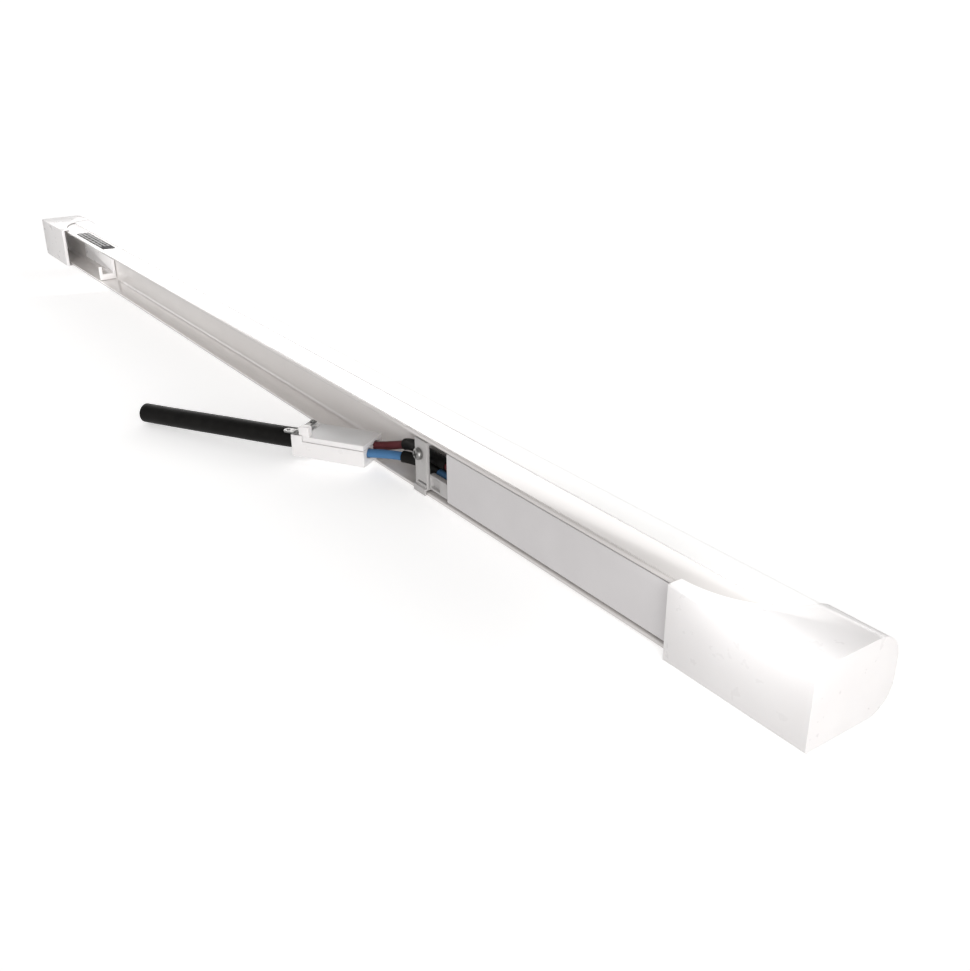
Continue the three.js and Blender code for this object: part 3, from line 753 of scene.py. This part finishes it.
def pan_screw(name, node, head_centre, out, head_radius, head_height, length):
    """A pan head with a cross recess, and its shank. The head centre is on top of the head."""
    profile = [(0, 0)]
    crown, steps = 0.38 * head_radius, 6
    for k in range(steps + 1):
        turn = math.pi / 2 * k / steps
        radius = head_radius - crown + crown * math.sin(turn)
        profile.append((radius, head_height * 0.75 * (1 - math.cos(turn))))
    tip = head_height + length
    profile += [(head_radius, head_height), (SHANK_RADIUS, head_height), (SHANK_RADIUS, tip), (0, tip)]
    bm = bmesh.new()
    sides = 36
    rings = []
    for radius, depth in profile:
        if radius == 0:
            rings.append([bm.verts.new((0, 0, -depth))])
        else:
            rings.append([bm.verts.new((radius * math.cos(a), radius * math.sin(a), -depth))
                          for a in (2 * math.pi * k / sides for k in range(sides))])
    for a, b in zip(rings, rings[1:]):
        for k in range(sides):
            m = (k + 1) % sides
            corners = [a[k % len(a)], a[m % len(a)], b[m % len(b)], b[k % len(b)]]
            bm.faces.new([c for i, c in enumerate(corners) if c not in corners[:i]])
    screw = mesh_from(name, bm)
    arm, half_slot, deep = head_radius * 0.6, head_radius * 0.17, head_height * 0.6
    for x, y in ((arm, half_slot), (half_slot, arm)):
        cut(screw, box_tool((-x, -y, -deep), (x, y, 1)))
    shade(screw, 32)
    turn = out.to_track_quat("Z", "Y").to_matrix().to_4x4()
    screw.data.transform(Matrix.Translation(head_centre) @ turn @ Matrix.Rotation(RECESS_TURN, 4, "Z"))
    finish_piece(screw, node)


def make_screws():
    low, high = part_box("cord_clamp_screw")
    middle = (low + high) / 2
    pan_screw(
        "cord_clamp_pan_screw", "cord_clamp_screw", Vector((middle.x, low.y, middle.z)),
        Vector((0, -1, 0)), (high.x - low.x) / 2, CLAMP_HEAD_HEIGHT, CLAMP_SHANK,
    )
    for i in (1, 2):
        low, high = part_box(f"cable_strap_screw_{i}")
        middle = (low + high) / 2
        pan_screw(
            f"strap_pan_screw_{i}", f"cable_strap_screw_{i}", Vector((middle.x, middle.y, high.z)),
            Vector((0, 0, 1)), (high.x - low.x) / 2, STRAP_HEAD_HEIGHT, STRAP_SHANK,
        )


make_screws()


# ---------------------------------------------------------------- floor and light
FLOOR_HALF = 120
FLOOR_DROP = 0.2 * MM
GROUND_BELOW, GROUND_ABOVE = 0.75, 0.86
OVERHEAD_DIM = -0.62
BAND_WAY, BAND_GLOW = (-0.9, 0.42, 0.25), 2.8
WINDOW_WAY, WINDOW_GLOW = (0.95, -0.22, 0.06), 3.3
ROOM_COLOR = (1.0, 0.985, 0.978, 1)
CAP_FILL_POWER, FAR_FILL_POWER = 0.008, 0.003


def make_floor():
    """A pale glowing floor. It shows behind the batten but throws no light on it."""
    bm = bmesh.new()
    bmesh.ops.create_grid(bm, x_segments=1, y_segments=1, size=FLOOR_HALF)
    floor = mesh_from("floor", bm)
    floor.location.z = -FLOOR_DROP
    floor.visible_diffuse = False
    floor.visible_glossy = False
    n = Nodes("pale_floor")
    n.link(n.tint(n.noise(3.0), (0.93, 0.93, 0.93), (0.95, 0.95, 0.95)), "Base Color")
    n.set(Roughness=0.9, Emission_Color=(1, 1, 1, 1), Emission_Strength=0.45)
    floor.data.materials.append(n.material)


class Sky:
    """The room as smooth patches of light added over an even ground."""

    def __init__(self):
        world = bpy.data.worlds.new("white_room")
        world.use_nodes = True
        SCENE.world = world
        self.tree = world.node_tree
        self.background = self.tree.nodes["Background"]
        self.way = self.add("ShaderNodeTexCoord", {}).outputs["Generated"]
        self.height = self.add("ShaderNodeSeparateXYZ", {"Vector": self.way}).outputs["Z"]

    def add(self, kind, inputs, **settings):
        return add_node(self.tree, kind, inputs, **settings)

    def towards(self, direction):
        pull = self.add("ShaderNodeVectorMath", {0: self.way, 1: Vector(direction).normalized()},
                        operation="DOT_PRODUCT")
        return pull.outputs["Value"]

    def rise(self, value, start, stop, low=0.0, high=1.0):
        node = self.add(
            "ShaderNodeMapRange",
            {"Value": value, "From Min": start, "From Max": stop, "To Min": low, "To Max": high},
            interpolation_type="SMOOTHSTEP",
        )
        return node.outputs["Result"]

    def math(self, operation, a, b):
        return self.add("ShaderNodeMath", {0: a, 1: b}, operation=operation).outputs[0]


def make_world():
    """An even room, dim overhead, with a bright band along the far wall and a soft window."""
    sky = Sky()
    ground = sky.rise(sky.height, -0.15, 0.1, GROUND_BELOW, GROUND_ABOVE)
    ceiling = sky.rise(sky.height, 0.42, 0.62, 0.0, OVERHEAD_DIM)
    band_low = sky.rise(sky.height, 0.13, 0.23)
    band_high = sky.rise(sky.height, 0.405, 0.44, 1.0, 0.0)
    band_side = sky.rise(sky.towards(BAND_WAY), 0.55, 0.85)
    band = sky.math("MULTIPLY", sky.math("MULTIPLY", band_low, band_high), band_side)
    window = sky.rise(sky.towards(WINDOW_WAY), 0.80, 0.96)
    total = sky.math("ADD", ground, ceiling)
    total = sky.math("ADD", total, sky.math("MULTIPLY", band, BAND_GLOW))
    total = sky.math("ADD", total, sky.math("MULTIPLY", window, WINDOW_GLOW))
    sky.background.inputs["Color"].default_value = ROOM_COLOR
    sky.tree.links.new(total, sky.background.inputs["Strength"])


def area_light(name, location, target, size, power):
    """A small rectangular lamp, aimed at a target and unseen itself."""
    data = bpy.data.lights.new(name, "AREA")
    data.shape = "RECTANGLE"
    data.size, data.size_y = size
    data.energy = power
    light = bpy.data.objects.new(name, data)
    light.location = location
    light.rotation_euler = (Vector(target) - Vector(location)).to_track_quat("-Z", "Y").to_euler()
    light.visible_camera = False
    SCENE.collection.objects.link(light)


make_floor()
make_world()
area_light("cap_fill", at(584, -9, 37), at(584, 3, 17), (0.044, 0.006), CAP_FILL_POWER)
area_light("far_fill", at(110, -12, 16), at(30, 11, 9), (0.012, 0.012), FAR_FILL_POWER)
SCENE.view_settings.view_transform = "Standard"
SCENE.cycles.use_denoising = True
